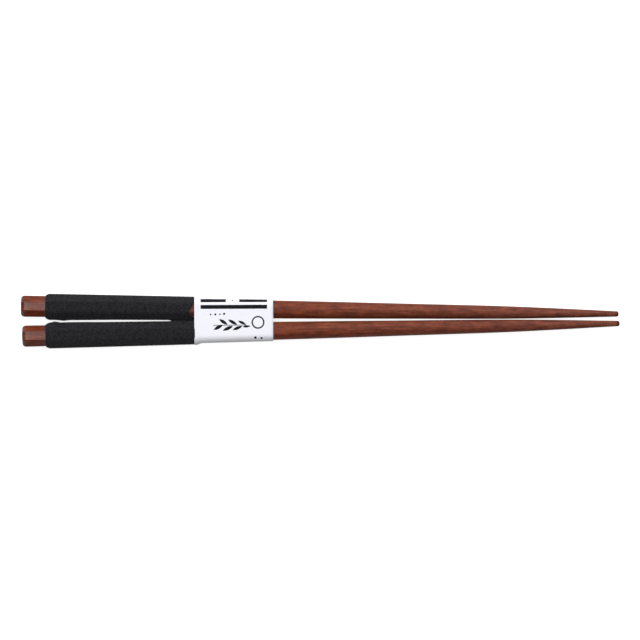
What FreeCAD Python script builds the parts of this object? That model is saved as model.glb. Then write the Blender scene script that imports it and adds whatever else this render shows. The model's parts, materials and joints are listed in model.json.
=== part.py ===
import FreeCAD, Part
import math
import os

# A pair of wooden chopsticks lying side by side, tips towards +X.
# A black cord is wound round each handle, and one paper band holds the two together.
# Lengths are in millimetres. A station is a distance along a stick from its butt end.

# Stick: a turned blank with eight flats planed along its handle
STICK_LENGTH = 225.0
FLAT_COUNT = 8
HANDLE_LENGTH = 100.0
FLATS_AT_BUTT = 8.0
FLATS_AT_HANDLE_END = 6.75
BLANK_AT_BUTT = 8.9
BLANK_AT_HANDLE_END = 6.82
BLANK_AT_MID_SHAFT = 5.82
POINT_LENGTH = 43.0
BLANK_AT_POINT = 4.78
BLANK_AT_MID_POINT = 3.55
BLANK_SPANS = 16
TIP_DIAMETER = 2.05
TIP_ROUNDING = 0.7
BUTT_ROUNDING = 1.4
ARRIS_ROUNDING = 0.4

# Thin cord wound close in two layers round the handle
WINDING_THICKNESS = 0.93
GRIP_START = 9.0
GRIP_LENGTH = 55.65
WINDING_AT_EDGE = 0.2
BUTT_SHOULDER = 1.5
BAND_SHOULDER = 0.4
SHOULDER_STEPS = 4

# How the two sticks lie: handles touching at the end of the winding, tips apart
GRIP_GAP = 0.05
TIP_GAP = 1.55
TIP_STAGGER = 0.4

# Paper band round both shafts, glued in a lap underneath
PAPER_THICKNESS = 0.15
BAND_CLEARANCE = 0.25
BAND_WIDTH = 29.6
PAPER_PLAY = 0.05
PAPER_SIDE_PLAY = 0.3
PAPER_CORNER = 2.6
FLARE_HEIGHT = 0.4
FLARE_LENGTH = 2.6
FLARE_STEPS = 4
LAP_WIDTH = 8.0
LAP_RAMP = 1.5

# Stations that follow from the sizes above
GRIP_END = GRIP_START + GRIP_LENGTH
BAND_START = GRIP_END + BAND_CLEARANCE
BAND_END = BAND_START + BAND_WIDTH
POINT_START = STICK_LENGTH - POINT_LENGTH
HALF_FLAT = math.pi / FLAT_COUNT
SAME_PLACE = 1e-4

ORIGIN = FreeCAD.Vector(0, 0, 0)
ALONG = FreeCAD.Vector(1, 0, 0)
ACROSS = FreeCAD.Vector(0, 1, 0)
UP = FreeCAD.Vector(0, 0, 1)


def flats_width(station):
    """Width across two opposite flats, which taper evenly along the handle."""
    taper = (FLATS_AT_BUTT - FLATS_AT_HANDLE_END) / HANDLE_LENGTH
    return FLATS_AT_BUTT - taper * station


def flats_outline(station, grow=0.0):
    """The planed section as a closed outline, one flat facing up, grown outwards by grow."""
    corner = (flats_width(station) / 2 + grow) / math.cos(HALF_FLAT)
    points = []
    for k in range(FLAT_COUNT + 1):
        angle = HALF_FLAT * (2 * k + 1)
        across = corner * math.cos(angle)
        up = corner * math.sin(angle)
        points.append(FreeCAD.Vector(station, across, up))
    return Part.makePolygon(points)


def turned_blank(grow=0.0):
    """The round form of the stick before planing, from butt to rounded tip."""
    sizes = [
        (0.0, BLANK_AT_BUTT),
        (HANDLE_LENGTH, BLANK_AT_HANDLE_END),
        ((HANDLE_LENGTH + POINT_START) / 2, BLANK_AT_MID_SHAFT),
        (POINT_START, BLANK_AT_POINT),
        (STICK_LENGTH - POINT_LENGTH / 2, BLANK_AT_MID_POINT),
        (STICK_LENGTH - TIP_ROUNDING, TIP_DIAMETER),
    ]
    points = [FreeCAD.Vector(s, 0, diameter / 2 + grow) for s, diameter in sizes]
    side = Part.BSplineCurve()
    side.interpolate(points)
    span = (side.LastParameter - side.FirstParameter) / BLANK_SPANS
    joins = [side.FirstParameter + span * k for k in range(1, BLANK_SPANS)]
    spans = side.toShape().split(joins).Edges
    shoulder = points[-1]
    inset = TIP_ROUNDING * (1 - math.cos(math.pi / 4))
    bend = shoulder + FreeCAD.Vector(TIP_ROUNDING - inset, 0, -inset)
    nose = shoulder + FreeCAD.Vector(TIP_ROUNDING, 0, -TIP_ROUNDING)
    tip = FreeCAD.Vector(STICK_LENGTH, 0, 0)
    edges = [
        Part.makeLine(ORIGIN, points[0]),
        *spans,
        Part.Arc(shoulder, bend, nose).toShape(),
        Part.makeLine(nose, tip),
        Part.makeLine(tip, ORIGIN),
    ]
    return Part.Face(Part.Wire(edges)).revolve(ORIGIN, ALONG, 360)


def edges_at(solid, station):
    """The edges of a solid that lie in the plane across one station."""
    found = []
    for edge in solid.Edges:
        box = edge.BoundBox
        if max(abs(box.XMin - station), abs(box.XMax - station)) < SAME_PLACE:
            found.append(edge)
    return found


def stick():
    """One stick: the planed bar and the turned blank in common, with soft arrises and ends."""
    past_tip = STICK_LENGTH + TIP_DIAMETER
    bar = Part.makeLoft([flats_outline(0.0), flats_outline(past_tip)], True, True)
    arrises = [edge for edge in bar.Edges if edge.Length > STICK_LENGTH / 2]
    bar = bar.makeFillet(ARRIS_ROUNDING, arrises)
    bar = bar.makeFillet(BUTT_ROUNDING, edges_at(bar, 0.0))
    return bar.common(turned_blank()).Solids[0]


def shoulder(edge, length):
    """Outlines of the winding from its edge up to its full thickness, a length further on."""
    outlines = []
    for step in range(SHOULDER_STEPS + 1):
        share = step / SHOULDER_STEPS
        rise = (WINDING_THICKNESS - WINDING_AT_EDGE) * share * (2 - share)
        outlines.append(flats_outline(edge + length * share, WINDING_AT_EDGE + rise))
    return outlines


def grip(core):
    """The winding as a plain sleeve on the handle, thinner towards its two edges."""
    outlines = shoulder(GRIP_START, BUTT_SHOULDER)
    outlines += reversed(shoulder(GRIP_END, -BAND_SHOULDER))
    sleeve = Part.makeLoft(outlines, True, True).common(turned_blank(WINDING_THICKNESS))
    return sleeve.cut(core).Solids[0]


def half_spread(station):
    """Distance of a stick's axis from the middle of the pair."""
    at_grip = flats_width(GRIP_END) / 2 + WINDING_THICKNESS + GRIP_GAP / 2
    at_tip = (TIP_DIAMETER + TIP_GAP) / 2
    slope = (at_tip - at_grip) / (STICK_LENGTH - GRIP_END)
    return at_grip + slope * (station - GRIP_END)


def oblong(station, half_width, half_height, corner):
    """A closed outline across the pair: four straight sides joined by four round corners."""
    arcs = []
    for side_y, side_z in ((1, 1), (-1, 1), (-1, -1), (1, -1)):
        across = side_y * (half_width - corner)
        up = side_z * (half_height - corner)
        middle = math.atan2(side_z, side_y)
        arc = []
        for angle in (middle - math.pi / 4, middle, middle + math.pi / 4):
            y = across + corner * math.cos(angle)
            z = up + corner * math.sin(angle)
            arc.append(FreeCAD.Vector(station, y, z))
        arcs.append(arc)
    edges = []
    for k, arc in enumerate(arcs):
        following = arcs[(k + 1) % len(arcs)]
        edges.append(Part.Arc(*arc).toShape())
        edges.append(Part.makeLine(arc[-1], following[0]))
    return Part.Wire(edges)


def paper_outline(station, outwards):
    """The paper loop's section round both shafts, grown outwards."""
    radius = flats_width(station) / 2
    half_width = half_spread(station) + radius + PAPER_SIDE_PLAY + outwards
    half_height = radius + PAPER_PLAY + outwards
    return oblong(station, half_width, half_height, PAPER_CORNER + outwards)


def paper_form(outwards):
    """The space inside one face of the loop, flared where it meets the windings."""
    outlines = []
    for step in range(FLARE_STEPS + 1):
        share = step / FLARE_STEPS
        flare = FLARE_HEIGHT * (1 - share) ** 2
        station = BAND_START + FLARE_LENGTH * share
        outlines.append(paper_outline(station, outwards + flare))
    outlines.append(paper_outline(BAND_END, outwards))
    return Part.makeLoft(outlines, True, True)


def lap_outline(station):
    """Section of the outer layer at the lap: a free edge on one side, a ramp on the other."""
    face = flats_width(station) / 2 + PAPER_PLAY + PAPER_THICKNESS
    buried = PAPER_THICKNESS / 2
    half = LAP_WIDTH / 2
    corners = [
        (-half, -face + buried),
        (-half, -face - PAPER_THICKNESS),
        (half, -face - PAPER_THICKNESS),
        (half + LAP_RAMP, -face + buried),
    ]
    corners.append(corners[0])
    return Part.makePolygon([FreeCAD.Vector(station, y, z) for y, z in corners])


def paper_band():
    """The paper band: one strip folded round both shafts and glued over itself underneath."""
    loop = paper_form(PAPER_THICKNESS).cut(paper_form(0.0))
    flare_end = BAND_START + FLARE_LENGTH
    lap = Part.makeLoft([lap_outline(flare_end), lap_outline(BAND_END)], True, True)
    return loop.fuse(lap).removeSplitter().Solids[0]


def laid(shape, side):
    """A stick or grip turned and moved to its side of the pair, +1 for left and -1 for right."""
    at_butt = half_spread(0.0)
    at_tip = half_spread(STICK_LENGTH)
    yaw = math.degrees(math.atan((at_butt - at_tip) / STICK_LENGTH))
    placed = shape.copy()
    placed.rotate(ORIGIN, UP, -side * yaw)
    stagger = TIP_STAGGER / 2
    placed.translate(FreeCAD.Vector(-side * stagger, side * at_butt, 0))
    return placed


def rested(shape):
    """A shape tipped to the slope at which the pair lies on its windings and its shafts."""
    grip_radius = flats_width(GRIP_END) / 2 + WINDING_THICKNESS
    shaft_radius = BLANK_AT_POINT / 2
    slope = (grip_radius - shaft_radius) / (POINT_START - GRIP_END)
    shape.rotate(ORIGIN, ACROSS, math.degrees(math.atan(slope)))
    return shape


def main():
    core = stick()
    winding = grip(core)
    pieces = {
        "left_chopstick": laid(core, 1),
        "right_chopstick": laid(core, -1),
        "left_grip_cord": laid(winding, 1),
        "right_grip_cord": laid(winding, -1),
        "paper_band": paper_band(),
    }
    for piece in pieces.values():
        rested(piece)
    pair = Part.makeCompound(list(pieces.values()))
    box = pair.optimalBoundingBox(False, False)
    middle = FreeCAD.Vector(box.Center.x, box.Center.y, box.ZMin)
    os.makedirs("parts", exist_ok=True)
    for name, piece in pieces.items():
        piece.translate(-middle)
        piece.exportStep(f"parts/{name}.step")
        print(name, len(piece.Solids), round(piece.Volume, 1), piece.isValid())


main()
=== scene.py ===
import json
import math

import bmesh
import bpy
from mathutils import Matrix, Vector


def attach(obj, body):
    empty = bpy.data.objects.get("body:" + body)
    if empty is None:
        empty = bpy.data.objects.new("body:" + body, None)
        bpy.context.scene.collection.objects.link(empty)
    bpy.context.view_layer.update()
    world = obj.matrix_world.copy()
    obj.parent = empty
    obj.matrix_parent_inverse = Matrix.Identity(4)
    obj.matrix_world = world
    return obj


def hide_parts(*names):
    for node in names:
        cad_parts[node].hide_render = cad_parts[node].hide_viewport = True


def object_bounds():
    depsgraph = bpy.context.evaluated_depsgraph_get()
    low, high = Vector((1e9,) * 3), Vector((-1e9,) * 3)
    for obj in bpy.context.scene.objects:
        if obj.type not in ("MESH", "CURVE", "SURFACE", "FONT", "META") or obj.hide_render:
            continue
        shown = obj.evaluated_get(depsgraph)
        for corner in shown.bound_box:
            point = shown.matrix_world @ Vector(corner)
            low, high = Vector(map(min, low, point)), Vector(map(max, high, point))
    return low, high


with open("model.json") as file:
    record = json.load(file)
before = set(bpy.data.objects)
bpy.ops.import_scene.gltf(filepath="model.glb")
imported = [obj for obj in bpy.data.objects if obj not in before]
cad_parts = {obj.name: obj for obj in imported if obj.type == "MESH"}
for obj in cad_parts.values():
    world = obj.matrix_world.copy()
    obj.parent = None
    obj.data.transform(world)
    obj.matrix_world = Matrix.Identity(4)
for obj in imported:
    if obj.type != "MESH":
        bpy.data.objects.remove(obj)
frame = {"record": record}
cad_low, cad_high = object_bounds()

# A pair of lacquered chopsticks with cord-wound handles, held together by a paper band.
# Lengths are in metres. A station is a distance along a stick from its butt end.
MM = 0.001
FULL_TURN = 2 * math.pi
SAME_PLACE = 0.0005 * MM
AHEAD = Vector((1, 0, 0))
UPWARDS = Vector((0, 0, 1))


def clamped(value):
    """The value, held between 0 and 1."""
    return min(max(value, 0.0), 1.0)


def eased(share):
    """A share from 0 to 1, made to start and end gently."""
    return share * share * (3 - 2 * share)


def bell(distance):
    """1 in the middle, falling off smoothly on both sides."""
    return math.exp(-(distance**2))


def on_ring(station, radius, angle):
    """A point at a station, at a radius from the stick's axis and an angle round it."""
    return Vector((station, radius * math.cos(angle), radius * math.sin(angle)))


def grid_skin(name, place, rows, columns, closed=True):
    """A skin of rows by columns faces; place(row, column) says where each corner goes.

    A closed skin joins its last column to its first and has both ends filled.
    Its UV map runs from 0 to 1 along the rows and across the columns.
    """
    bm = bmesh.new()
    bm.loops.layers.uv.new("UVMap")
    bmesh.ops.create_grid(bm, x_segments=rows, y_segments=columns, size=1, calc_uvs=True)
    for vert in bm.verts:
        row = round((vert.co.x + 1) / 2 * rows)
        column = round((vert.co.y + 1) / 2 * columns)
        vert.co = place(row, column)
    if closed:
        bmesh.ops.remove_doubles(bm, verts=bm.verts, dist=SAME_PLACE)
        rims = [edge for edge in bm.edges if edge.is_boundary]
        bmesh.ops.holes_fill(bm, edges=rims, sides=0)
        bmesh.ops.recalc_face_normals(bm, faces=bm.faces)
    mesh = bpy.data.meshes.new(name)
    bm.to_mesh(mesh)
    bm.free()
    mesh.shade_smooth()
    piece = bpy.data.objects.new(name, mesh)
    bpy.context.scene.collection.objects.link(piece)
    return piece


# Sticks: octagonal handles that run into round shafts and points
STICK_LENGTH = 225.0 * MM
FLAT_COUNT = 8
FLAT_TURN = FULL_TURN / FLAT_COUNT
HANDLE_LENGTH = 100.0 * MM
FLATS_AT_BUTT = 8.0 * MM
FLATS_AT_HANDLE_END = 6.75 * MM
TIP_ROUNDING = 0.7 * MM
BUTT_ROUNDING = 1.4 * MM
ARRIS_SOFTNESS = 0.12 * MM
STICK_SIDES = 96
SHAFT_RINGS = 96
ROUNDING_RINGS = 6

# The turned form, as (station, diameter)
TURNED_SIZES = (
    (0.0, 8.9 * MM),
    (100.0 * MM, 6.82 * MM),
    (141.0 * MM, 5.82 * MM),
    (182.0 * MM, 4.78 * MM),
    (203.5 * MM, 3.55 * MM),
    (224.3 * MM, 2.05 * MM),
)


def flats_width(station):
    """Width across two opposite flats of the planed handle."""
    taper = (FLATS_AT_BUTT - FLATS_AT_HANDLE_END) / HANDLE_LENGTH
    return FLATS_AT_BUTT - taper * station


def turned_slopes():
    """Slope of the turned profile at each of its sizes, the mean of the slopes on its two sides."""
    steps = []
    for (s0, d0), (s1, d1) in zip(TURNED_SIZES, TURNED_SIZES[1:]):
        steps.append((d1 - d0) / (s1 - s0))
    inner = [(a + b) / 2 for a, b in zip(steps, steps[1:])]
    return [steps[0], *inner, steps[-1]]


SLOPES = turned_slopes()


def turned_radius(station):
    """Radius of the round form, a smooth curve through the turned sizes."""
    k = 0
    while k < len(TURNED_SIZES) - 2 and station > TURNED_SIZES[k + 1][0]:
        k += 1
    (s0, d0), (s1, d1) = TURNED_SIZES[k], TURNED_SIZES[k + 1]
    span = s1 - s0
    t = clamped((station - s0) / span)
    rise = (2 * t**3 - 3 * t**2 + 1) * d0 + (3 * t**2 - 2 * t**3) * d1
    lean = (t**3 - 2 * t**2 + t) * SLOPES[k] + (t**3 - t**2) * SLOPES[k + 1]
    return (rise + lean * span) / 2


def from_flat(angle):
    """An angle round the stick, measured from the middle of its nearest flat."""
    return (angle + FLAT_TURN / 2) % FLAT_TURN - FLAT_TURN / 2


def quarter_round(distance, radius):
    """How far a rounded rim lies inside the full form, at a distance from the end."""
    if distance >= radius:
        return 0.0
    return radius - math.sqrt(radius**2 - (radius - distance) ** 2)


def stick_radius(station, angle):
    """Radius of the finished stick: the flats and the turned form, whichever is less."""
    flat = flats_width(station) / 2 / math.cos(from_flat(angle))
    turned = turned_radius(station)
    gap = max(ARRIS_SOFTNESS - abs(flat - turned), 0.0) / ARRIS_SOFTNESS
    radius = min(flat, turned) - gap**2 * ARRIS_SOFTNESS / 4
    radius -= quarter_round(station, BUTT_ROUNDING)
    return radius - quarter_round(STICK_LENGTH - station, TIP_ROUNDING)


def stick_place(side):
    """Where a stick lies: its butt's middle and its axis are those of the butt's mount."""
    mounts = {mount["name"]: mount for mount in frame["record"]["mounts"]}
    butt = mounts[f"{side}_butt"]
    along = -Vector(butt["axis"]).normalized()
    across = UPWARDS.cross(along).normalized()
    turn = Matrix((along, across, along.cross(across))).transposed().to_4x4()
    return Matrix.Translation(butt["pos_m"]) @ turn


def stick_stations():
    """Rings along a stick, closer together over its rounded ends."""
    stations = []
    for k in range(ROUNDING_RINGS):
        turn = math.pi / 2 * k / ROUNDING_RINGS
        stations.append(BUTT_ROUNDING * (1 - math.cos(turn)))
    shaft = STICK_LENGTH - TIP_ROUNDING - BUTT_ROUNDING
    for k in range(SHAFT_RINGS + 1):
        stations.append(BUTT_ROUNDING + shaft * k / SHAFT_RINGS)
    for k in range(1, ROUNDING_RINGS + 1):
        turn = math.pi / 2 * k / ROUNDING_RINGS
        stations.append(STICK_LENGTH - TIP_ROUNDING * (1 - math.sin(turn)))
    return stations


def make_stick(side):
    """One stick, octagonal at the handle and round from the middle of the shaft on."""
    stations = stick_stations()

    def place(row, column):
        angle = FULL_TURN * column / STICK_SIDES
        return on_ring(stations[row], stick_radius(stations[row], angle), angle)

    piece = grid_skin(f"{side}_stick", place, len(stations) - 1, STICK_SIDES)
    piece.data.transform(stick_place(side))
    return piece


# Windings: two layers of thin cord, the outer one with its turns and the lower one plain
WINDING_THICKNESS = 0.93 * MM
GRIP_START = 9.0 * MM
GRIP_LENGTH = 55.65 * MM
GRIP_END = GRIP_START + GRIP_LENGTH
WINDING_AT_EDGE = 0.2 * MM
BUTT_SHOULDER = 1.5 * MM
BAND_SHOULDER = 0.2 * MM
SHOULDER_ROUNDNESS = 0.4
TURNS = 118
RINGS_PER_TURN = 96
CORD_SIDES = 8

# The cord's strands, and how much wider it is for the grooves, so that its turns touch
STRANDS = 2
STRAND_DEPTH = 0.18
CORD_WIDENING = STRAND_DEPTH / 3

# How often a strand comes to the top of the cord in one turn: a quarter less than a whole number
# sets the crowns in lines that slant across the winding
CROWNS_PER_TURN = 18.75

# Both ends of the cord dip under the turn beside them
TUCK_ANGLE = 0.5
TUCK_DEPTH = 0.3 * MM

# How deep the lower layer's surface lies, as a share of the cord's thickness, and where its ends
# are closed inside the wood, as a share of the stick's width
UNDER_RINGS = 122
UNDER_DEPTH = 0.1
UNDER_CLOSED_AT = 0.25

# How far the windings go on past the construction's sleeves, to end beside each other at the butts
# and to meet the paper at the band
EXTRA_AT_BUTT = {"left": 0.0, "right": 0.3 * MM}
EXTRA_AT_BAND = 0.5 * MM

# The sides of the sticks that face each other, as angles round each stick
INNER_SIDE = {"left": math.pi, "right": 0.0}
INNER_SPREAD = 0.4

# Where a winding is thicker on its inner side, over cord ends and slack turns, as (station, reach,
# height)
LUMPS = {
    "left": ((15.9 * MM, 1.4 * MM, 0.25 * MM), (16.0 * MM, 16.0 * MM, 0.30 * MM)),
    "right": ((12.3 * MM, 1.3 * MM, 0.40 * MM), (19.0 * MM, 10.0 * MM, 0.18 * MM)),
}

# Towards the band the two windings bulge until they press on each other
TOUCH_FROM = 55.3 * MM
TOUCH_RAMP = 1.6 * MM
TOUCH_AT_BAND = 0.18 * MM
TOUCH_SLOPE = 0.0172

# How the last turns of the left winding lie pushed back, which leaves a crescent of wood bare
PUSH_BACK = 1.9 * MM
PUSH_REACH = 10.0 * MM
PUSH_ANGLE = math.radians(111)
PUSH_SPREAD = math.radians(37)

# The doubled ends of the cord, which leave the windings between the sticks and run under the band
END_LEVEL = {"left": 0.45 * MM, "right": -0.45 * MM}
END_START = 64.2 * MM
END_LENGTH = 5.4 * MM
END_THICKNESS = 1.0 * MM
END_RINGS = 40
END_SIDES = 24
END_CROWNS = 5


def winding_ends(side):
    """The two stations between which a winding runs."""
    return GRIP_START - EXTRA_AT_BUTT[side], GRIP_END + EXTRA_AT_BAND


def winding_height(side, station):
    """Thickness of the winding, which falls off towards its two edges."""
    begin, end = winding_ends(side)
    near = min((station - begin) / BUTT_SHOULDER, (end - station) / BAND_SHOULDER)
    share = clamped(near)
    rise = share * (1 + SHOULDER_ROUNDNESS - SHOULDER_ROUNDNESS * share)
    return WINDING_AT_EDGE + (WINDING_THICKNESS - WINDING_AT_EDGE) * rise


def inner_bulge(side, station):
    """How far a winding stands out further on its inner side."""
    bulge = sum(height * bell((station - middle) / reach) for middle, reach, height in LUMPS[side])
    touching = eased(clamped((station - TOUCH_FROM) / TOUCH_RAMP))
    return bulge + touching * (TOUCH_AT_BAND + TOUCH_SLOPE * (GRIP_END - station))


def cord_seat(side, station, angle, cord):
    """Distance of the outer cord's middle from the stick's axis, round the flats and arrises."""
    lift = winding_height(side, station) - cord / 2
    half = flats_width(station) / 2
    turn = abs(from_flat(angle))
    seat = (half + lift) / math.cos(turn)
    edge = half * math.tan(FLAT_TURN / 2)
    if (half + lift) * math.tan(turn) > edge:
        toward = half * math.cos(turn) + edge * math.sin(turn)
        reach = toward**2 - half**2 - edge**2 + lift**2
        seat = toward + math.sqrt(max(reach, 0.0))
    seat = min(seat, turned_radius(station) + lift)
    around = math.remainder(angle - INNER_SIDE[side], FULL_TURN) / INNER_SPREAD
    return seat + inner_bulge(side, station) * bell(around)


def pushed_back(side, station, angle):
    """How far towards the butt a turn lies from its even place."""
    if side == "right":
        return 0.0
    near = max(1 - (GRIP_END - station) / PUSH_REACH, 0.0)
    around = math.remainder(angle - PUSH_ANGLE, FULL_TURN) / PUSH_SPREAD
    return PUSH_BACK * near**2 * bell(around)


def cord_skin(name, points, thickness, level, sides, crowns):
    """A cord of twisted strands along points; one of its sides stays turned to the level direction.

    Its UV map counts the strands' crowns along it and the strands round it.
    """
    last = len(points) - 1
    length = sum((b - a).length for a, b in zip(points, points[1:]))
    crosses = []
    for k in range(last + 1):
        ahead = points[min(k + 1, last)] - points[max(k - 1, 0)]
        beside = level - ahead * (ahead.dot(level) / ahead.length_squared)
        beside.normalize()
        crosses.append((beside.cross(ahead.normalized()), beside))

    def place(row, column):
        out, beside = crosses[row]
        around = FULL_TURN * column / sides
        twist = FULL_TURN * crowns * row / last
        lobe = 1 - STRAND_DEPTH / 2 * (1 + math.cos(STRANDS * around - twist))
        high = thickness / 2 * lobe * math.cos(around)
        wide = thickness / 2 * (1 + CORD_WIDENING) * lobe * math.sin(around)
        return points[row] + out * high + beside * wide

    print(name, "length", round(length, 3))
    piece = grid_skin(name, place, last, sides)
    for corner in piece.data.uv_layers["UVMap"].data:
        corner.uv = corner.uv.x * crowns, corner.uv.y * STRANDS
    return piece


def make_winding(side):
    """The black twisted cord, wound in touching turns from inner side to inner side."""
    begin, end = winding_ends(side)
    pitch = (end - begin) / (TURNS + 1)

    def path(turned):
        angle = turned + INNER_SIDE[side]
        station = begin + pitch / 2 + pitch * turned / FULL_TURN
        seat = cord_seat(side, station, angle, pitch)
        left = min(turned, FULL_TURN * TURNS - turned) / TUCK_ANGLE
        if left < 1:
            seat -= TUCK_DEPTH * (1 - left) ** 2
        return on_ring(station - pushed_back(side, station, angle), seat, angle)

    step = FULL_TURN / RINGS_PER_TURN
    points = [path(step * k) for k in range(TURNS * RINGS_PER_TURN + 1)]
    crowns = CROWNS_PER_TURN * TURNS
    piece = cord_skin(f"{side}_winding", points, pitch, AHEAD, CORD_SIDES, crowns)
    piece.data.transform(stick_place(side))
    return piece


def make_under_layer(side):
    """The lower layer of a winding, which closes the grooves between the turns of the outer one.

    Its UV map lies in one point, where the cord's material is painted as dark as the shade in its
    grooves.
    """
    begin, end = winding_ends(side)
    length = end - begin
    pitch = length / (TURNS + 1)

    def place(row, column):
        share = clamped((row - 1) / (UNDER_RINGS - 2))
        station = begin + pitch / 2 + (length - pitch) * share
        angle = FULL_TURN * column / STICK_SIDES
        radius = cord_seat(side, station, angle, pitch) - pitch * UNDER_DEPTH
        if row in (0, UNDER_RINGS):
            radius = flats_width(station) * UNDER_CLOSED_AT
        return on_ring(station - pushed_back(side, station, angle), radius, angle)

    piece = grid_skin(f"{side}_under_layer", place, UNDER_RINGS, STICK_SIDES)
    for corner in piece.data.uv_layers["UVMap"].data:
        corner.uv = 0.0, 0.0
    piece.data.transform(stick_place(side))
    return piece


def make_cord_end(side):
    """The doubled end of a cord, laid along the stick from under the last turns to under the band."""
    points = []
    for k in range(END_RINGS + 1):
        station = END_START + END_LENGTH * k / END_RINGS
        across = (flats_width(station) + END_THICKNESS) / 2 * math.cos(INNER_SIDE[side])
        points.append(Vector((station, across, END_LEVEL[side])))
    piece = cord_skin(f"{side}_cord_end", points, END_THICKNESS, UPWARDS, END_SIDES, END_CROWNS)
    piece.data.transform(stick_place(side))
    return piece


# Paper band: its flared edge beside the windings, a crease in its lower corner there, and the lap
# underneath
PAPER_THICKNESS = 0.15 * MM
BAND_CLEARANCE = 0.25 * MM
BAND_START = GRIP_END + BAND_CLEARANCE
BAND_WIDTH = 29.6 * MM
BAND_ROWS = 48
ROW_GRADING = 1.5
PAPER_PLAY = 0.05 * MM
PAPER_SIDE_PLAY = 0.3 * MM
PAPER_CORNER = 2.6 * MM
FLARE_HEIGHT = 0.4 * MM
FLARE_LENGTH = 2.6 * MM
CREASE_TURN = 2.6
CREASE_SPREAD = 0.7
CREASE_HEIGHT = 0.45 * MM
CREASE_MIDDLE = 0.9 * MM
CREASE_LENGTH = 1.1 * MM
LAP_WIDTH = 8.0 * MM
LAP_RAMP = 1.5 * MM

# The paper loop is counted in turns from the middle of the underside, towards the right stick:
# even turns run along a straight side and odd ones round a corner
BESIDE_RIGHT = 2
ON_TOP = 4
BESIDE_LEFT = 6
LAST_SIDE = 8
LOOP_END = 9.0
TOP_MIDDLE = ON_TOP + 0.5
CORNER_MIDDLES = {1: (-1, -1), 3: (-1, 1), 5: (1, 1), 7: (1, -1)}

# Faces along the strip: in its hidden part, over its sides and corners, and where it climbs
HIDDEN_FACES = 8
SIDE_FACES = 10
TOP_FACES = 24
FLAT_FACES = 3
CLIMB_FACES = 5


def pair_place():
    """Where the pair lies: midway between the two butts, along the mean of their axes."""
    left = stick_place("left")
    right = stick_place("right")
    along = (left.to_3x3() @ AHEAD + right.to_3x3() @ AHEAD).normalized()
    across = UPWARDS.cross(along).normalized()
    turn = Matrix((along, across, along.cross(across))).transposed().to_4x4()
    middle = (left.translation + right.translation) / 2
    return Matrix.Translation(middle) @ turn


def half_spread(station):
    """Distance of a stick's axis from the middle of the pair."""
    place = pair_place().inverted() @ stick_place("left")
    along = place.to_3x3() @ AHEAD
    return place.translation.y + along.y / along.x * station


def loop_size(station, outwards):
    """Half the loop's width and half its height, with the strip's middle so far outwards."""
    radius = flats_width(station) / 2
    return half_spread(station) + radius + PAPER_SIDE_PLAY + outwards, radius + PAPER_PLAY + outwards


def loop_point(turn, half_width, half_height, corner):
    """A point of the paper loop, across the pair and upwards, with rounded corners."""
    flat_y = half_width - corner
    flat_z = half_height - corner
    if turn < 1:
        return -flat_y * turn, -half_height
    if turn >= LAST_SIDE:
        return flat_y * (LOOP_END - turn), -half_height
    side = int(turn)
    share = turn - side
    if side == BESIDE_RIGHT:
        return -half_width, flat_z * (2 * share - 1)
    if side == ON_TOP:
        return flat_y * (2 * share - 1), half_height
    if side == BESIDE_LEFT:
        return half_width, flat_z * (1 - 2 * share)
    side_y, side_z = CORNER_MIDDLES[side]
    angle = math.atan2(side_z, side_y) - math.pi / 2 * (share - 0.5)
    return side_y * flat_y + corner * math.cos(angle), side_z * flat_z + corner * math.sin(angle)


def strip_turns():
    """The strip from its hidden inner end, once round the loop, to its free outer end.

    Also how many turns half its lap and the climb before the lap take.
    """
    flat = half_spread(BAND_START) + flats_width(BAND_START) / 2 + PAPER_SIDE_PLAY - PAPER_CORNER
    lap = LAP_WIDTH / 2 / flat
    climb = LAP_RAMP / flat
    lap_from = LOOP_END - lap
    steps = [(-lap, 0.0, HIDDEN_FACES), (0.0, 1.0, HIDDEN_FACES)]
    for side in range(1, LAST_SIDE):
        steps.append((side, side + 1.0, TOP_FACES if side == ON_TOP else SIDE_FACES))
    steps.append((LAST_SIDE, lap_from - climb, FLAT_FACES))
    steps.append((lap_from - climb, lap_from, CLIMB_FACES))
    steps.append((lap_from, LOOP_END + lap, SIDE_FACES))
    turns = []
    for begin, end, count in steps:
        turns += [begin + (end - begin) * k / count for k in range(count)]
    turns.append(LOOP_END + lap)
    return turns, lap, climb


def paper_lift(turn, lap, climb):
    """How far the strip stands out to pass over its own inner end."""
    return PAPER_THICKNESS * eased(clamped((turn - (LOOP_END - lap - climb)) / climb))


def band_station(row):
    """Stations of the band's rows, closer together at its flared edge."""
    return BAND_START + BAND_WIDTH * (row / BAND_ROWS) ** ROW_GRADING


def strip_lengths(turns, station):
    """Distance along the strip of each of its turns, counted from the middle of the top."""
    size = loop_size(station, 0.0)
    points = [Vector(loop_point(turn, *size, PAPER_CORNER)) for turn in turns]
    lengths = [0.0]
    for a, b in zip(points, points[1:]):
        lengths.append(lengths[-1] + (b - a).length)
    top = min(range(len(turns)), key=lambda k: abs(turns[k] - TOP_MIDDLE))
    return [length - lengths[top] for length in lengths]


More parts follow.
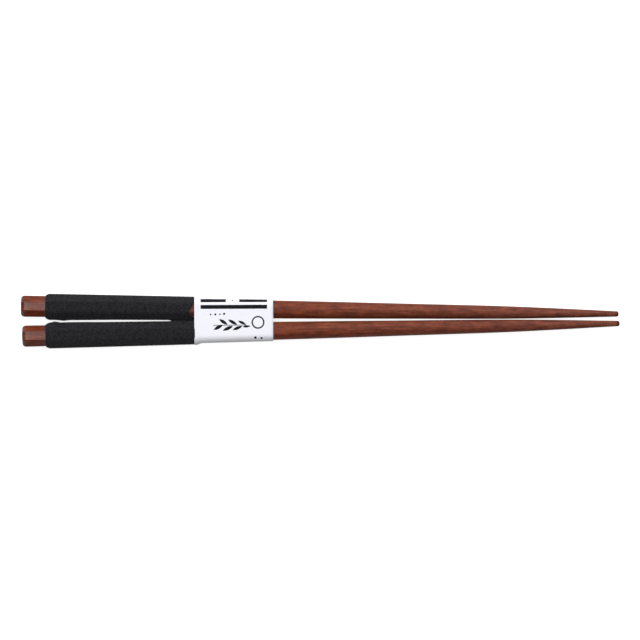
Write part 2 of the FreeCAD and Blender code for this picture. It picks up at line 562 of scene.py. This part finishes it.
def make_band():
    """The paper band, a strip folded round both shafts and glued over itself underneath.

    Its UV map is the flat strip, measured in widths of the band.
    """
    turns, lap, climb = strip_turns()

    def place(row, column):
        station = band_station(row)
        turn = turns[column]
        flare = max(1 - (station - BAND_START) / FLARE_LENGTH, 0.0)
        beyond = (station - BAND_START - CREASE_MIDDLE) / CREASE_LENGTH
        crease = bell(beyond) * bell((turn - CREASE_TURN) / CREASE_SPREAD)
        outwards = PAPER_THICKNESS / 2 + FLARE_HEIGHT * flare**2 + CREASE_HEIGHT * crease
        outwards += paper_lift(turn, lap, climb)
        size = loop_size(station, outwards)
        return Vector((station, *loop_point(turn, *size, PAPER_CORNER + outwards)))

    columns = len(turns) - 1
    piece = grid_skin("band_paper", place, BAND_ROWS, columns, closed=False)
    lengths = [strip_lengths(turns, band_station(row)) for row in range(BAND_ROWS + 1)]
    for corner in piece.data.uv_layers["UVMap"].data:
        row = round(corner.uv.x * BAND_ROWS)
        column = round(corner.uv.y * columns)
        along = band_station(row) - BAND_START
        corner.uv = along / BAND_WIDTH, lengths[row][column] / BAND_WIDTH
    piece.data.transform(pair_place())
    wall = piece.modifiers.new("Paper wall", "SOLIDIFY")
    wall.thickness = PAPER_THICKNESS
    wall.offset = 0.0
    return piece


# Materials: what they share
def new_material(name):
    """A material with only its shader and output, with its node tree and shader."""
    material = bpy.data.materials.new(name)
    material.use_nodes = True
    tree = material.node_tree
    tree.nodes.clear()
    shader = tree.nodes.new("ShaderNodeBsdfPrincipled")
    output = tree.nodes.new("ShaderNodeOutputMaterial")
    tree.links.new(shader.outputs["BSDF"], output.inputs["Surface"])
    return material, tree, shader


def set_inputs(node, values):
    """Values that are the same all over the surface, set on the node's own sockets."""
    for name, value in values.items():
        node.inputs[name].default_value = value


def add(tree, kind, inputs=None, **settings):
    """A new node with its settings and inputs; an input may be a value or another socket."""
    made = tree.nodes.new(f"ShaderNode{kind}")
    for name, value in settings.items():
        setattr(made, name, value)
    for name, value in (inputs or {}).items():
        if isinstance(value, bpy.types.NodeSocket):
            tree.links.new(value, made.inputs[name])
        else:
            made.inputs[name].default_value = value
    return made


def math_node(tree, operation, first, second=None, clamp=False):
    """One arithmetic step on two values or sockets."""
    inputs = {0: first}
    if second is not None:
        inputs[1] = second
    return add(tree, "Math", inputs, operation=operation, use_clamp=clamp).outputs[0]


def about_half(tree, value, factor, clamp=False):
    """One half plus the value times a factor."""
    inputs = {0: value, 1: factor, 2: 0.5}
    return add(tree, "Math", inputs, operation="MULTIPLY_ADD", use_clamp=clamp).outputs[0]


def mixed(tree, factor, first, second, blend_type="MIX"):
    """Two colours mixed, the second one as far as the factor says."""
    inputs = {"Factor": factor, 6: first, 7: second}
    return add(tree, "Mix", inputs, data_type="RGBA", blend_type=blend_type).outputs[2]


def multiplied(tree, first, second):
    """Two colours multiplied."""
    return mixed(tree, 1.0, first, second, blend_type="MULTIPLY")


def add_bump(tree, shader, height, strength, distance):
    """A bump on the shader, from a height of 0 to 1 that stands for a distance in metres."""
    bump = add(tree, "Bump", {"Height": height, "Strength": strength, "Distance": distance})
    tree.links.new(bump.outputs[0], shader.inputs["Normal"])


def noise_along(tree, length, width, detail, roughness=0.55, offset=0.0):
    """Noise drawn out along X into marks of a given length and width."""
    coords = add(tree, "TexCoord").outputs["Object"]
    scale = (1 / length, 1 / width, 1 / width)
    inputs = {"Vector": coords, "Scale": scale, "Location": (offset, 0, 0)}
    stretched = add(tree, "Mapping", inputs).outputs[0]
    inputs = {"Vector": stretched, "Scale": 1.0, "Detail": detail, "Roughness": roughness}
    return add(tree, "TexNoise", inputs).outputs["Fac"]


def noise(tree, scale, detail):
    """Even noise, its scale in marks a metre."""
    coords = add(tree, "TexCoord").outputs["Object"]
    inputs = {"Vector": coords, "Scale": scale, "Detail": detail}
    return add(tree, "TexNoise", inputs).outputs["Fac"]


def grey(value):
    """A colour without hue."""
    return (value, value, value)


def opaque(colour):
    """A colour as a socket takes it, with its fourth value."""
    return (*colour, 1.0)


def ramp(tree, factor, stops):
    """A colour ramp through (position, colour) stops."""
    made = add(tree, "ValToRGB", {"Fac": factor})
    elements = made.color_ramp.elements
    while len(elements) < len(stops):
        elements.new(0.5)
    for element, (position, colour) in zip(elements, stops):
        element.position = position
        element.color = opaque(colour)
    return made.outputs["Color"]


def fade(tree, factor, begin, end):
    """Grey that goes from one value to another as the factor goes from 0 to 1."""
    return ramp(tree, factor, ((0.0, grey(begin)), (1.0, grey(end))))


# Wood: grain, lighter and darker patches, and pores
WOOD_DARK = (0.097, 0.0195, 0.0115)
WOOD_MID = (0.153, 0.033, 0.0140)
WOOD_LIGHT = (0.206, 0.050, 0.0190)
WOOD_PORE = (0.055, 0.012, 0.008)
GRAIN = {"length": 9 * MM, "width": 0.6 * MM, "detail": 5.0}
GRAIN_STOPS = ((0.30, WOOD_DARK), (0.50, WOOD_MID), (0.72, WOOD_LIGHT))
PATCHES = {"length": 4 * MM, "width": 1.8 * MM, "detail": 5.0, "roughness": 0.75, "offset": 3.0}
PATCH_STOPS = ((0.36, grey(0.68)), (0.64, grey(1.36)))
PORES = {"length": 2.2 * MM, "width": 0.13 * MM, "detail": 2.0, "offset": 7.0}
PORE_STOPS = ((0.60, grey(0.0)), (0.72, grey(0.5)))
WOOD_BUMP = {"strength": 0.25, "distance": 0.04 * MM}
WOOD_SURFACE = {"Specular IOR Level": 0.16}

# Both ends of the sticks are darker and matte, as end grain is
DARK_TIP_FROM = 110.9 * MM
DARK_BUTT_FROM = -111.6 * MM
END_GRAIN_SPREAD = 1.2 * MM
END_GRAIN_SHADE = 0.32
END_GRAIN_ROUGHNESS = 0.9

# The butts carry more lacquer than the shafts and are glossier. Their colour is darker, partly from
# the lacquer's deeper tone and partly as painted shade that offsets the butt lamp's extra light
LACQUER_TO = -98.0 * MM
LACQUER_FADE = 3.0 * MM
BUTT_ROUGHNESS = 0.24
SHAFT_ROUGHNESS = 0.6
BUTT_TONE_AND_SHADE = 0.85

# Painted shade, a dim purplish grey, on the bare wood just beside the windings' edges, along X
PAINTED_SHADE_AT = (-103.7 * MM, -48.8 * MM)
PAINTED_SHADE_REACH = 1.3 * MM
PAINTED_SHADE_STRENGTH = 0.55
PAINTED_SHADE_COLOUR = (0.070, 0.048, 0.058)

# The colour turns cooler from the middle of the shaft towards the tip
COOL_FROM = -10.0 * MM
COOL_REACH = 100.0 * MM
COOL_TINT = (0.98, 1.22, 1.65)


def wood_material():
    """Reddish hardwood under a thin satin lacquer, its grain running along the stick."""
    material, tree, shader = new_material("lacquered_wood")
    grain = noise_along(tree, **GRAIN)
    colour = ramp(tree, grain, GRAIN_STOPS)
    tone = ramp(tree, noise_along(tree, **PATCHES), PATCH_STOPS)
    colour = multiplied(tree, colour, tone)
    pores = ramp(tree, noise_along(tree, **PORES), PORE_STOPS)
    colour = mixed(tree, pores, colour, opaque(WOOD_PORE))
    coords = add(tree, "TexCoord").outputs["Object"]
    along = add(tree, "SeparateXYZ", {0: coords}).outputs[0]

    past_tip = math_node(tree, "SUBTRACT", along, DARK_TIP_FROM)
    past_butt = math_node(tree, "SUBTRACT", DARK_BUTT_FROM, along)
    past = math_node(tree, "MAXIMUM", past_tip, past_butt)
    soaked = math_node(tree, "DIVIDE", past, END_GRAIN_SPREAD, clamp=True)
    colour = multiplied(tree, colour, fade(tree, soaked, 1.0, END_GRAIN_SHADE))

    from_butt = math_node(tree, "SUBTRACT", LACQUER_TO, along)
    dipped = math_node(tree, "DIVIDE", from_butt, LACQUER_FADE, clamp=True)
    # Darker colour at the butts: partly the lacquer's deeper tone, partly painted shade against the
    # butt lamp's extra light
    colour = multiplied(tree, colour, fade(tree, dipped, 1.0, BUTT_TONE_AND_SHADE))

    # Painted shade: the wood is darkened towards a dim purplish grey close to each winding's edge
    apart = []
    for edge in PAINTED_SHADE_AT:
        apart.append(math_node(tree, "ABSOLUTE", math_node(tree, "SUBTRACT", along, edge)))
    nearest = math_node(tree, "MINIMUM", *apart)
    beside = math_node(tree, "DIVIDE", nearest, PAINTED_SHADE_REACH, clamp=True)
    colour = mixed(tree, fade(tree, beside, PAINTED_SHADE_STRENGTH, 0.0), colour, opaque(PAINTED_SHADE_COLOUR))

    onwards = math_node(tree, "SUBTRACT", along, COOL_FROM)
    cooler = math_node(tree, "DIVIDE", onwards, COOL_REACH, clamp=True)
    tint = ramp(tree, cooler, ((0.0, grey(1.0)), (1.0, COOL_TINT)))
    tree.links.new(multiplied(tree, colour, tint), shader.inputs["Base Color"])

    gloss = fade(tree, dipped, SHAFT_ROUGHNESS, BUTT_ROUGHNESS)
    matte = math_node(tree, "MULTIPLY", soaked, END_GRAIN_ROUGHNESS)
    tree.links.new(math_node(tree, "MAXIMUM", gloss, matte), shader.inputs["Roughness"])
    add_bump(tree, shader, math_node(tree, "SUBTRACT", grain, pores), **WOOD_BUMP)
    set_inputs(shader, WOOD_SURFACE)
    return material


# Cord: black fibres, a coarser bloom over them, and painted shade in the grooves between the strands
CORD_DARK = (0.0120, 0.0115, 0.0144)
CORD_LIGHT = (0.0345, 0.0330, 0.0410)
CORD_STOPS = ((0.42, CORD_DARK), (0.58, CORD_LIGHT))
FIBRES = {"scale": 9000.0, "detail": 3.0}
BLOOM = {"scale": 1100.0, "detail": 2.0}
BLOOM_SHARE = 0.7
GROOVE_SHADE = 0.08
CORD_BUMP = {"strength": 0.6, "distance": 0.03 * MM}
CORD_SURFACE = {
    "Roughness": 0.8,
    "Diffuse Roughness": 1.0,
    "Specular IOR Level": 0.2,
    "Sheen Weight": 0.05,
    "Sheen Roughness": 0.5,
}


def cord_material():
    """Black twisted cord: matte fibres with a faint bloom, and painted shade between the strands."""
    material, tree, shader = new_material("black_cord")
    layout = add(tree, "UVMap", uv_map="UVMap").outputs[0]
    split = add(tree, "SeparateXYZ", {0: layout})
    behind = math_node(tree, "SUBTRACT", split.outputs[1], split.outputs[0])
    wave = math_node(tree, "COSINE", math_node(tree, "MULTIPLY", behind, FULL_TURN))
    crown = about_half(tree, wave, -0.5)
    fibre = noise(tree, **FIBRES)
    tone = add(tree, "Mix", {"Factor": BLOOM_SHARE, 2: fibre, 3: noise(tree, **BLOOM)}).outputs[0]
    colour = ramp(tree, tone, CORD_STOPS)
    # Painted shade in the grooves between the strands, darkest where the cord dips in
    shaded = multiplied(tree, colour, fade(tree, crown, GROOVE_SHADE, 1.0))
    tree.links.new(shaded, shader.inputs["Base Color"])
    add_bump(tree, shader, math_node(tree, "ADD", fibre, crown), **CORD_BUMP)
    set_inputs(shader, CORD_SURFACE)
    return material


# Paper: faint fibres
PAPER_WHITE = (0.84, 0.84, 0.90)
PAPER_SHADE = tuple(0.97 * value for value in PAPER_WHITE)
PAPER_STOPS = ((0.3, PAPER_SHADE), (0.7, PAPER_WHITE))
PAPER_FIBRES = {"scale": 2500.0, "detail": 4.0}
PAPER_BUMP = {"strength": 0.15, "distance": 0.02 * MM}
PAPER_SURFACE = {"Roughness": 0.75, "Specular IOR Level": 0.12}

# Print on the band: two bars, a leafy sprig, a ring and dots in black ink. Each begins with its
# place in millimetres, along the band from its grip edge and across it from the middle of its top
INK = (0.007, 0.0065, 0.009)
PRINT_EDGE = 0.08

# Bars and the sprig's stem, with half their length and width; the upper bar has a gap
PRINT_BARS = (
    (7.1, 7.56, 4.75, 0.76),
    (22.1, 7.56, 5.25, 0.76),
    (14.85, 5.05, 12.5, 0.74),
    (13.2, -1.85, 6.2, 0.12),
)

# Leaves, with half their length and width and their tilt in degrees
PRINT_LEAVES = (
    (9.0, -2.6, 2.0, 0.62, 28),
    (10.9, -0.6, 1.9, 0.60, -34),
    (12.6, -3.0, 2.1, 0.62, 24),
    (14.4, -0.7, 2.0, 0.60, -30),
    (16.2, -2.9, 2.0, 0.58, 22),
    (17.9, -0.9, 1.7, 0.50, -26),
    (19.6, -2.3, 1.5, 0.42, 6),
)

# The ring, with its radius and half the width of its line, and the dots with their radii
PRINT_RINGS = ((23.9, -0.8, 2.15, 0.27),)
PRINT_DOTS = (
    (22.9, -6.5, 0.5),
    (25.2, -6.7, 0.42),
    (14.35, 7.56, 0.3),
    (6.1, 2.2, 0.3),
    (7.9, 2.25, 0.38),
    (9.6, 2.3, 0.3),
    (11.2, 2.45, 0.42),
)


def bar_edge(tree, x, y, half_length, half_width):
    """Distance to the edge of a bar, from sockets with the place beside its middle."""
    past_x = math_node(tree, "SUBTRACT", math_node(tree, "ABSOLUTE", x), half_length)
    past_y = math_node(tree, "SUBTRACT", math_node(tree, "ABSOLUTE", y), half_width)
    return math_node(tree, "MAXIMUM", past_x, past_y)


def leaf_edge(tree, x, y, half_length, half_width, tilt):
    """Distance to the edge of a pointed leaf, measured across it."""
    cosine = math.cos(math.radians(tilt))
    sine = math.sin(math.radians(tilt))
    x_ahead = math_node(tree, "MULTIPLY", x, cosine)
    y_ahead = math_node(tree, "MULTIPLY", y, sine)
    forward = math_node(tree, "ADD", x_ahead, y_ahead)
    y_aside = math_node(tree, "MULTIPLY", y, cosine)
    x_aside = math_node(tree, "MULTIPLY", x, sine)
    aside = math_node(tree, "ABSOLUTE", math_node(tree, "SUBTRACT", y_aside, x_aside))
    share = math_node(tree, "DIVIDE", forward, half_length)
    squared = math_node(tree, "MULTIPLY", share, share)
    narrower = math_node(tree, "MULTIPLY", squared, half_width)
    return math_node(tree, "SUBTRACT", math_node(tree, "ADD", aside, narrower), half_width)


def dot_edge(tree, x, y, radius):
    """Distance to the edge of a dot."""
    x_squared = math_node(tree, "MULTIPLY", x, x)
    y_squared = math_node(tree, "MULTIPLY", y, y)
    reach = math_node(tree, "SQRT", math_node(tree, "ADD", x_squared, y_squared))
    return math_node(tree, "SUBTRACT", reach, radius)


def ring_edge(tree, x, y, radius, half_width):
    """Distance to the edge of a ring's line."""
    away = math_node(tree, "ABSOLUTE", dot_edge(tree, x, y, radius))
    return math_node(tree, "SUBTRACT", away, half_width)


def paper_material():
    """White paper with faint fibres, printed in black."""
    material, tree, shader = new_material("printed_paper")
    layout = add(tree, "UVMap", uv_map="UVMap").outputs[0]
    scaled = add(tree, "VectorMath", {0: layout, 1: grey(BAND_WIDTH / MM)}, operation="MULTIPLY")
    split = add(tree, "SeparateXYZ", {0: scaled.outputs[0]})
    printed = (
        (bar_edge, PRINT_BARS),
        (leaf_edge, PRINT_LEAVES),
        (ring_edge, PRINT_RINGS),
        (dot_edge, PRINT_DOTS),
    )
    distances = []
    for edge, shapes in printed:
        for along, across, *sizes in shapes:
            x = math_node(tree, "SUBTRACT", split.outputs[0], along)
            y = math_node(tree, "SUBTRACT", split.outputs[1], across)
            distances.append(edge(tree, x, y, *sizes))
    nearest = distances[0]
    for distance in distances[1:]:
        nearest = math_node(tree, "MINIMUM", nearest, distance)
    ink = about_half(tree, nearest, -1 / PRINT_EDGE, clamp=True)
    fibre = noise(tree, **PAPER_FIBRES)
    colour = mixed(tree, ink, ramp(tree, fibre, PAPER_STOPS), opaque(INK))
    tree.links.new(colour, shader.inputs["Base Color"])
    add_bump(tree, shader, fibre, **PAPER_BUMP)
    set_inputs(shader, PAPER_SURFACE)
    return material


# Floor, light and camera
FLOOR_SIZE = 4.0
FLOOR_WHITE = 0.5
FLOOR_GLOW = 0.85
SKY_STRENGTH = 0.2

# Soft lamps, all turned to the origin: place, size and power in watts
LAMPS = {
    "side_lamp": (Vector((0.02, 0.64, 0.66)), 0.9, 10.3),
    "butt_lamp": (Vector((-0.17, 0.02, 0.5)), 0.13, 0.62),
}

# Camera over the pair, as wide as the photograph shows
VIEW_WIDTH = 240.8 * MM
LENS = 200.0
SENSOR = 36.0
VIEW_CENTRE = (-0.3 * MM, -0.02 * MM)
VIEW_ROLL = math.radians(-0.24)


def make_floor():
    """A plain white floor. Its glow is only for what sees it, so that it reads as white."""
    bm = bmesh.new()
    bmesh.ops.create_grid(bm, x_segments=1, y_segments=1, size=FLOOR_SIZE / 2)
    mesh = bpy.data.meshes.new("floor")
    bm.to_mesh(mesh)
    bm.free()
    floor = bpy.data.objects.new("floor", mesh)
    bpy.context.scene.collection.objects.link(floor)
    material, tree, shader = new_material("floor_white")
    set_inputs(shader, {"Base Color": opaque(grey(FLOOR_WHITE)), "Emission Color": opaque(grey(1.0))})
    set_inputs(shader, {"Roughness": 1.0, "Specular IOR Level": 0.0})
    rays = add(tree, "LightPath").outputs
    seen = math_node(tree, "ADD", rays["Is Camera Ray"], rays["Is Glossy Ray"])
    seen = math_node(tree, "ADD", seen, rays["Is Transmission Ray"], clamp=True)
    glow = math_node(tree, "MULTIPLY", seen, FLOOR_GLOW)
    tree.links.new(glow, shader.inputs["Emission Strength"])
    mesh.materials.append(material)


def make_light():
    """An even white sky, a broad lamp beyond the left stick and a small one over the butts."""
    world = bpy.data.worlds.new("studio")
    world.use_nodes = True
    bpy.context.scene.world = world
    sky = world.node_tree.nodes["Background"]
    set_inputs(sky, {"Color": opaque(grey(1.0)), "Strength": SKY_STRENGTH})
    for name, (place, size, power) in LAMPS.items():
        lamp = bpy.data.lights.new(name, "AREA")
        lamp.energy = power
        lamp.size = size
        holder = bpy.data.objects.new(name, lamp)
        holder.location = place
        holder.rotation_euler = (-place).to_track_quat("-Z", "Y").to_euler()
        bpy.context.scene.collection.objects.link(holder)


def make_camera():
    """A camera straight above the pair, turned as the photograph is."""
    lens = bpy.data.cameras.new("camera")
    lens.lens = LENS
    lens.sensor_width = SENSOR
    camera = bpy.data.objects.new("camera", lens)
    height = cad_high.z / 2 + VIEW_WIDTH * LENS / SENSOR
    camera.location = (*VIEW_CENTRE, height)
    camera.rotation_euler = (0.0, 0.0, VIEW_ROLL)
    bpy.context.scene.collection.objects.link(camera)
    bpy.context.scene.camera = camera


def dress():
    """All pieces of the object, each on its body, in its material and in place of its node."""
    wood = wood_material()
    cord = cord_material()
    dressed = []
    for side in ("left", "right"):
        dressed.append((make_stick(side), f"{side}_chopstick", wood, "wood"))
        dressed.append((make_winding(side), f"{side}_grip_cord", cord, "cord"))
        dressed.append((make_under_layer(side), f"{side}_grip_cord", cord, "cord"))
        dressed.append((make_cord_end(side), f"{side}_grip_cord", cord, "cord"))
    dressed.append((make_band(), "paper_band", paper_material(), "paper"))
    for piece, node, material, slot in dressed:
        piece.data.materials.append(material)
        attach(piece, "root")
        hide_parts(node)


dress()
make_floor()
make_light()
make_camera()
bpy.context.scene.view_settings.view_transform = "Standard"
